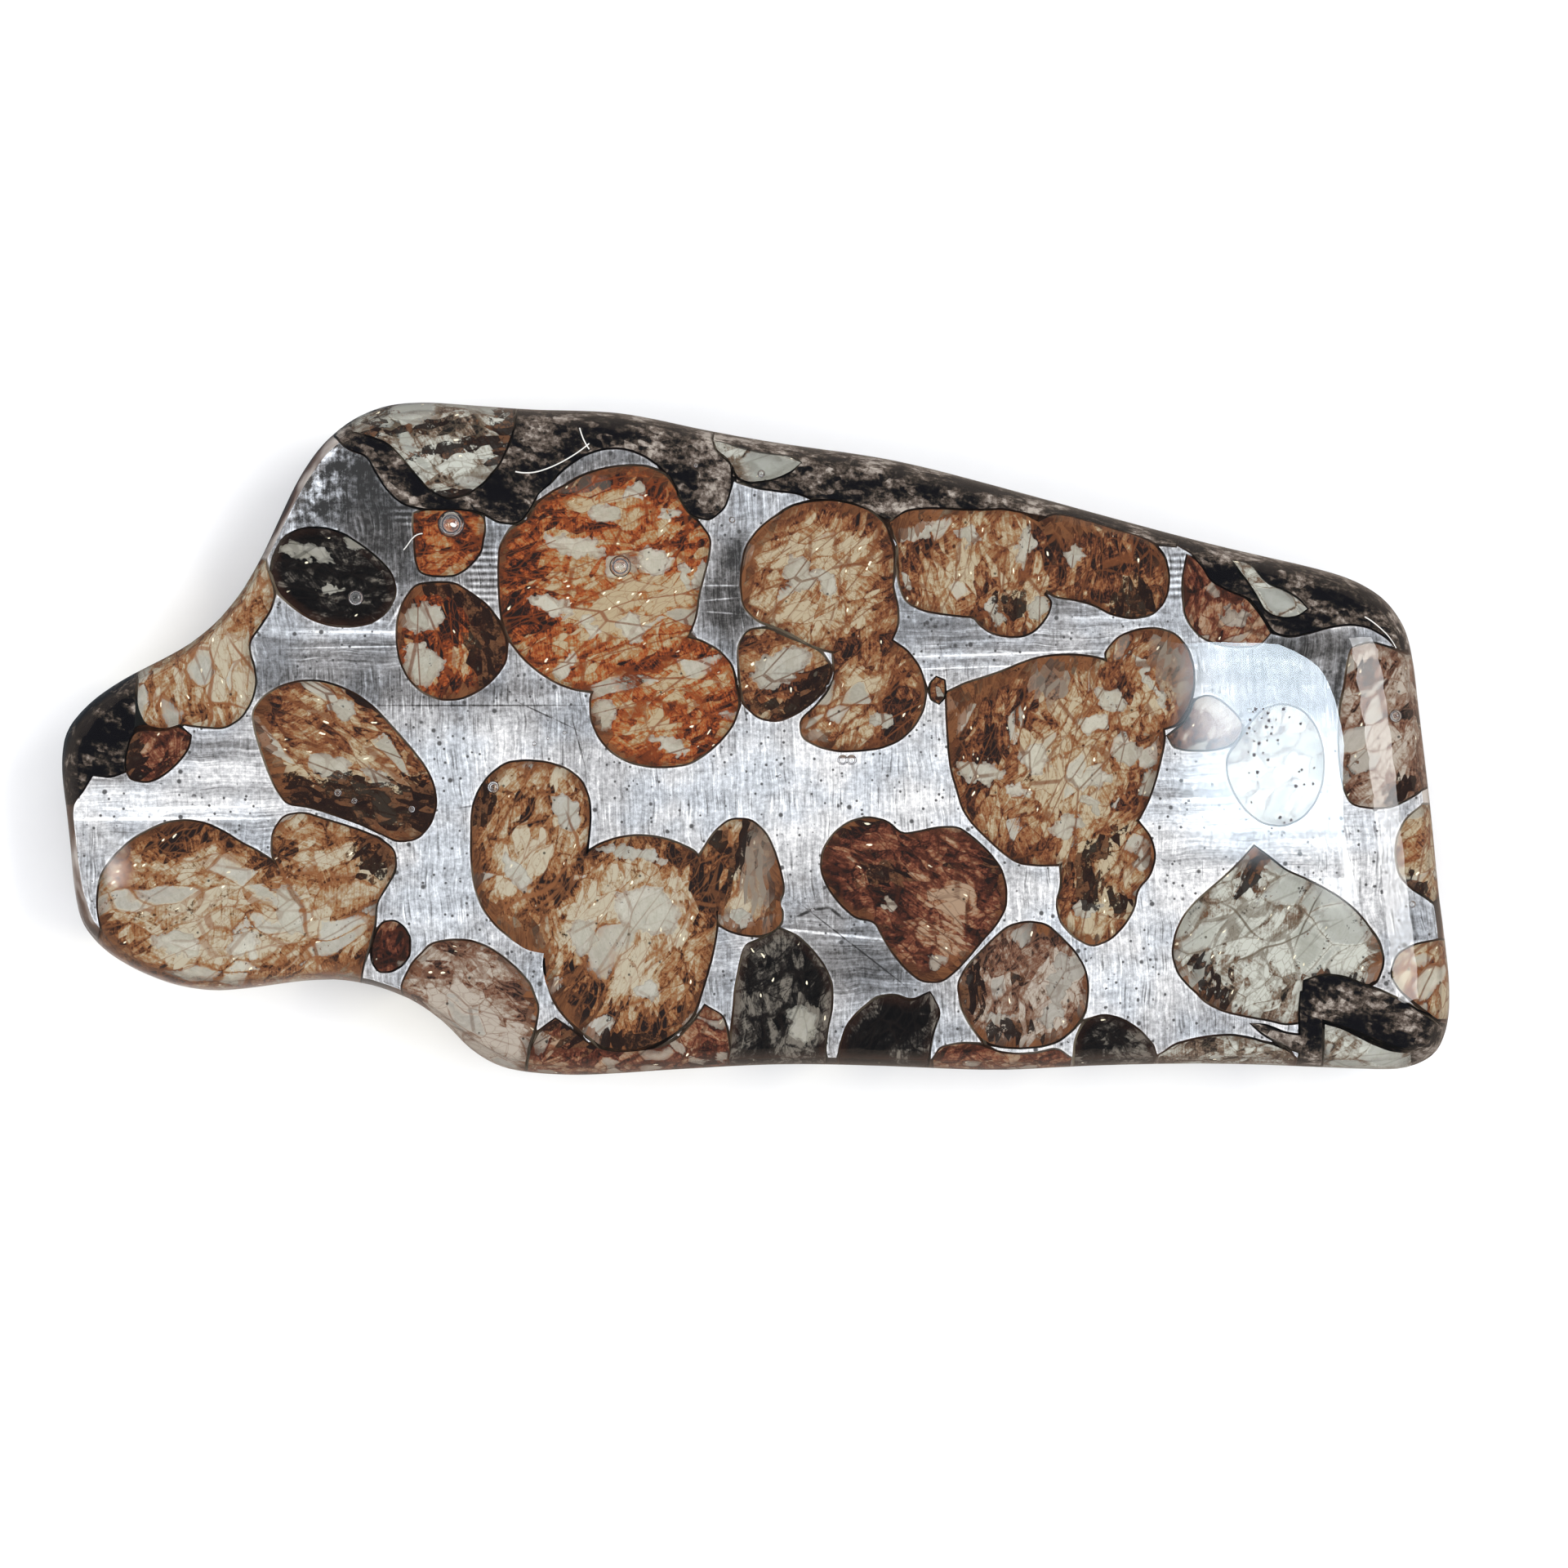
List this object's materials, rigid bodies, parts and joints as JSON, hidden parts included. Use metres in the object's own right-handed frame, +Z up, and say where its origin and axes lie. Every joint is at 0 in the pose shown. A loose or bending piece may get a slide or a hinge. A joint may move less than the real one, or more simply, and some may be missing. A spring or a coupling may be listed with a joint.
{
  "type": "pallasite meteorite slice",
  "caption": "Polished stony-iron meteorite slice: glassy olivine crystals set in bright iron-nickel metal with a dark rind, sealed in a clear, round-edged resin coat.",
  "frame": {"origin": "under the middle of the resin's outline, on the plane of the flat resting face", "axes": "+X along the slice's length towards its blunt end, +Y towards its long natural edge, +Z up through the polished face"},
  "size_m": [0.0512, 0.0248, 0.0048],
  "materials": {
    "clear_resin": "clear cast resin, glossy and smooth",
    "iron_nickel": "ground and polished, with fine scratches and small pits",
    "iron_oxide_rind": "black, fibrous and mottled with grey-brown",
    "olivine_black": "polished, nearly black",
    "olivine_orange": "polished, glassy, with rust-orange veins",
    "olivine_amber": "polished, glassy, with amber grains and pale windows",
    "olivine_pale": "polished, glassy, pale grey-green"
  },
  "bodies": {
    "root": {"resin_coat_bottom": "clear_resin", "resin_coat_top": "clear_resin", "iron_nickel_network": "iron_nickel", "weathered_seam": "iron_oxide_rind", "weathered_rind_left": "iron_oxide_rind", "weathered_rind_top_left": "iron_oxide_rind", "weathered_rind_top": "iron_oxide_rind", "weathered_rind_top_right": "iron_oxide_rind", "olivine_black_left": "olivine_black", "olivine_black_bottom": "olivine_black", "olivine_black_corner": "olivine_black", "olivine_crescent": "olivine_black", "olivine_dark_bottom": "olivine_black", "olivine_grain_small": "olivine_black", "olivine_red_round": "olivine_orange", "olivine_orange_block": "olivine_orange", "olivine_pair_orange": "olivine_orange", "olivine_brown_twin": "olivine_orange", "olivine_brown_top_right": "olivine_orange", "olivine_brown_rim_left": "olivine_orange", "olivine_band_top": "olivine_orange", "olivine_nub_lower_left": "olivine_orange", "olivine_pair_upper_middle": "olivine_amber", "olivine_cluster_right": "olivine_amber", "olivine_cluster_centre": "olivine_amber", "olivine_glassy_round": "olivine_amber", "olivine_rim_bottom": "olivine_amber", "olivine_rubble_bottom": "olivine_amber", "olivine_rim_below_left": "olivine_amber", "olivine_pair_lower_left": "olivine_amber", "olivine_tan_long": "olivine_amber", "olivine_tan_rim_left": "olivine_amber", "olivine_rim_right_middle": "olivine_amber", "olivine_rim_right_low": "olivine_amber", "olivine_rim_bottom_right": "olivine_amber", "olivine_window_top_left": "olivine_pale", "olivine_window_top": "olivine_pale", "olivine_window_top_right": "olivine_pale", "olivine_faint_small": "olivine_pale", "olivine_faint_large": "olivine_pale", "olivine_rim_right_high": "olivine_pale", "olivine_corner_bottom_right": "olivine_pale", "olivine_heart": "olivine_pale"}
  },
  "joints": []
}
